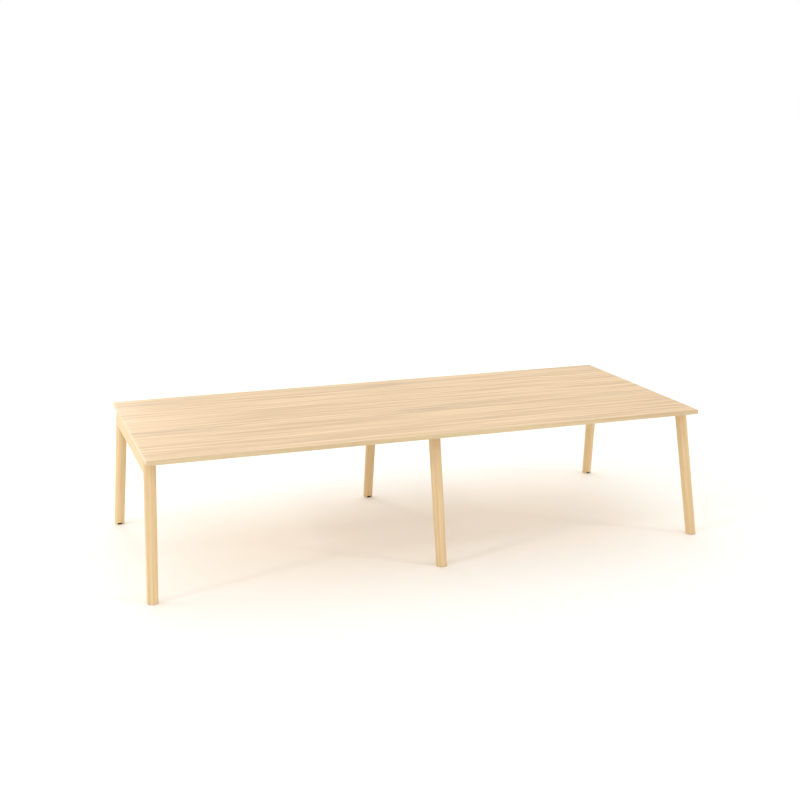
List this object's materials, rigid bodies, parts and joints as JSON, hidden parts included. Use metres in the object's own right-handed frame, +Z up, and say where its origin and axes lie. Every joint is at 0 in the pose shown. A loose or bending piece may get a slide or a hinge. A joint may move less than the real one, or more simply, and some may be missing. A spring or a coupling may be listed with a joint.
{
  "type": "long table",
  "caption": "Long rectangular table: laminated top of two boards on three splayed round-leg wooden frames joined by steel rails, with screw-adjustable levelling feet.",
  "frame": {"origin": "on the floor, below the middle of the top", "axes": "+X along the table's length, +Y across it towards the back edge, +Z up"},
  "size_m": [3.1588, 1.3412, 0.74],
  "materials": {
    "decor_board": "pale oak decor laminate on chipboard, satin",
    "edge_band": "wood-print edge band, satin",
    "solid_wood": "pale solid wood, clear matt lacquer",
    "frame_steel": "light grey powder coat",
    "zinc_steel": "bright zinc plating",
    "black_steel": "blackened steel",
    "dowel_wood": "bare beech",
    "foot_plastic": "black moulded plastic"
  },
  "bodies": {
    "frame": {"board_left": "decor_board", "board_right": "decor_board", "band_front_left": "edge_band", "band_back_left": "edge_band", "band_end_left": "edge_band", "band_joint_left": "edge_band", "band_front_right": "edge_band", "band_back_right": "edge_band", "band_end_right": "edge_band", "band_joint_right": "edge_band", "leg_front_left": "solid_wood", "leg_front_middle": "solid_wood", "leg_front_right": "solid_wood", "leg_back_left": "solid_wood", "leg_back_middle": "solid_wood", "leg_back_right": "solid_wood", "end_rail_left": "solid_wood", "end_rail_right": "solid_wood", "cross_tube_left": "frame_steel", "cross_tube_middle": "frame_steel", "cross_tube_right": "frame_steel", "beam_front_left": "frame_steel", "beam_back_left": "frame_steel", "beam_front_right": "frame_steel", "beam_back_right": "frame_steel", "leg_brackets_left": "frame_steel", "leg_brackets_middle": "frame_steel", "leg_brackets_right": "frame_steel", "leg_screws": "zinc_steel", "leg_inserts": "zinc_steel", "rail_dowels": "dowel_wood", "rail_screws": "zinc_steel", "beam_bolts": "zinc_steel", "beam_rivet_nuts": "zinc_steel", "top_screws": "zinc_steel", "joint_dowels": "dowel_wood", "joint_washers": "zinc_steel", "joint_bolts": "zinc_steel", "joint_nuts": "zinc_steel", "foot_insert_front_left": "zinc_steel", "foot_insert_front_middle": "zinc_steel", "foot_insert_front_right": "zinc_steel", "foot_insert_back_left": "zinc_steel", "foot_insert_back_middle": "zinc_steel", "foot_insert_back_right": "zinc_steel"},
    "foot_base_front_left": {"foot_base_front_left": "foot_plastic"},
    "foot_screw_front_left": {"foot_screw_front_left": "black_steel"},
    "foot_base_front_middle": {"foot_base_front_middle": "foot_plastic"},
    "foot_screw_front_middle": {"foot_screw_front_middle": "black_steel"},
    "foot_base_front_right": {"foot_base_front_right": "foot_plastic"},
    "foot_screw_front_right": {"foot_screw_front_right": "black_steel"},
    "foot_base_back_left": {"foot_base_back_left": "foot_plastic"},
    "foot_screw_back_left": {"foot_screw_back_left": "black_steel"},
    "foot_base_back_middle": {"foot_base_back_middle": "foot_plastic"},
    "foot_screw_back_middle": {"foot_screw_back_middle": "black_steel"},
    "foot_base_back_right": {"foot_base_back_right": "foot_plastic"},
    "foot_screw_back_right": {"foot_screw_back_right": "black_steel"}
  },
  "joints": [
    {"name": "foot_lift_front_left", "type": "slide", "parent": "frame", "child": "foot_base_front_left", "axis": [0, 0, 1], "range_m": [-0.01, 0.001]},
    {"name": "foot_turn_front_left", "type": "hinge", "parent": "foot_base_front_left", "child": "foot_screw_front_left", "pos_m": [-1.551, -0.63, 0.02], "axis": [0, 0, 1], "range_deg": [-2880, 288]},
    {"name": "foot_lift_front_middle", "type": "slide", "parent": "frame", "child": "foot_base_front_middle", "axis": [0, 0, 1], "range_m": [-0.01, 0.001]},
    {"name": "foot_turn_front_middle", "type": "hinge", "parent": "foot_base_front_middle", "child": "foot_screw_front_middle", "pos_m": [0, -0.63, 0.02], "axis": [0, 0, 1], "range_deg": [-2880, 288]},
    {"name": "foot_lift_front_right", "type": "slide", "parent": "frame", "child": "foot_base_front_right", "axis": [0, 0, 1], "range_m": [-0.01, 0.001]},
    {"name": "foot_turn_front_right", "type": "hinge", "parent": "foot_base_front_right", "child": "foot_screw_front_right", "pos_m": [1.551, -0.63, 0.02], "axis": [0, 0, 1], "range_deg": [-2880, 288]},
    {"name": "foot_lift_back_left", "type": "slide", "parent": "frame", "child": "foot_base_back_left", "axis": [0, 0, 1], "range_m": [-0.01, 0.001]},
    {"name": "foot_turn_back_left", "type": "hinge", "parent": "foot_base_back_left", "child": "foot_screw_back_left", "pos_m": [-1.551, 0.63, 0.02], "axis": [0, 0, 1], "range_deg": [-2880, 288]},
    {"name": "foot_lift_back_middle", "type": "slide", "parent": "frame", "child": "foot_base_back_middle", "axis": [0, 0, 1], "range_m": [-0.01, 0.001]},
    {"name": "foot_turn_back_middle", "type": "hinge", "parent": "foot_base_back_middle", "child": "foot_screw_back_middle", "pos_m": [0, 0.63, 0.02], "axis": [0, 0, 1], "range_deg": [-2880, 288]},
    {"name": "foot_lift_back_right", "type": "slide", "parent": "frame", "child": "foot_base_back_right", "axis": [0, 0, 1], "range_m": [-0.01, 0.001]},
    {"name": "foot_turn_back_right", "type": "hinge", "parent": "foot_base_back_right", "child": "foot_screw_back_right", "pos_m": [1.551, 0.63, 0.02], "axis": [0, 0, 1], "range_deg": [-2880, 288]}
  ],
  "couplings": [
    {"joint": "foot_lift_front_left", "follows": "foot_turn_front_left", "m_per_rad": 0.00019894},
    {"joint": "foot_lift_front_middle", "follows": "foot_turn_front_middle", "m_per_rad": 0.00019894},
    {"joint": "foot_lift_front_right", "follows": "foot_turn_front_right", "m_per_rad": 0.00019894},
    {"joint": "foot_lift_back_left", "follows": "foot_turn_back_left", "m_per_rad": 0.00019894},
    {"joint": "foot_lift_back_middle", "follows": "foot_turn_back_middle", "m_per_rad": 0.00019894},
    {"joint": "foot_lift_back_right", "follows": "foot_turn_back_right", "m_per_rad": 0.00019894}
  ]
}
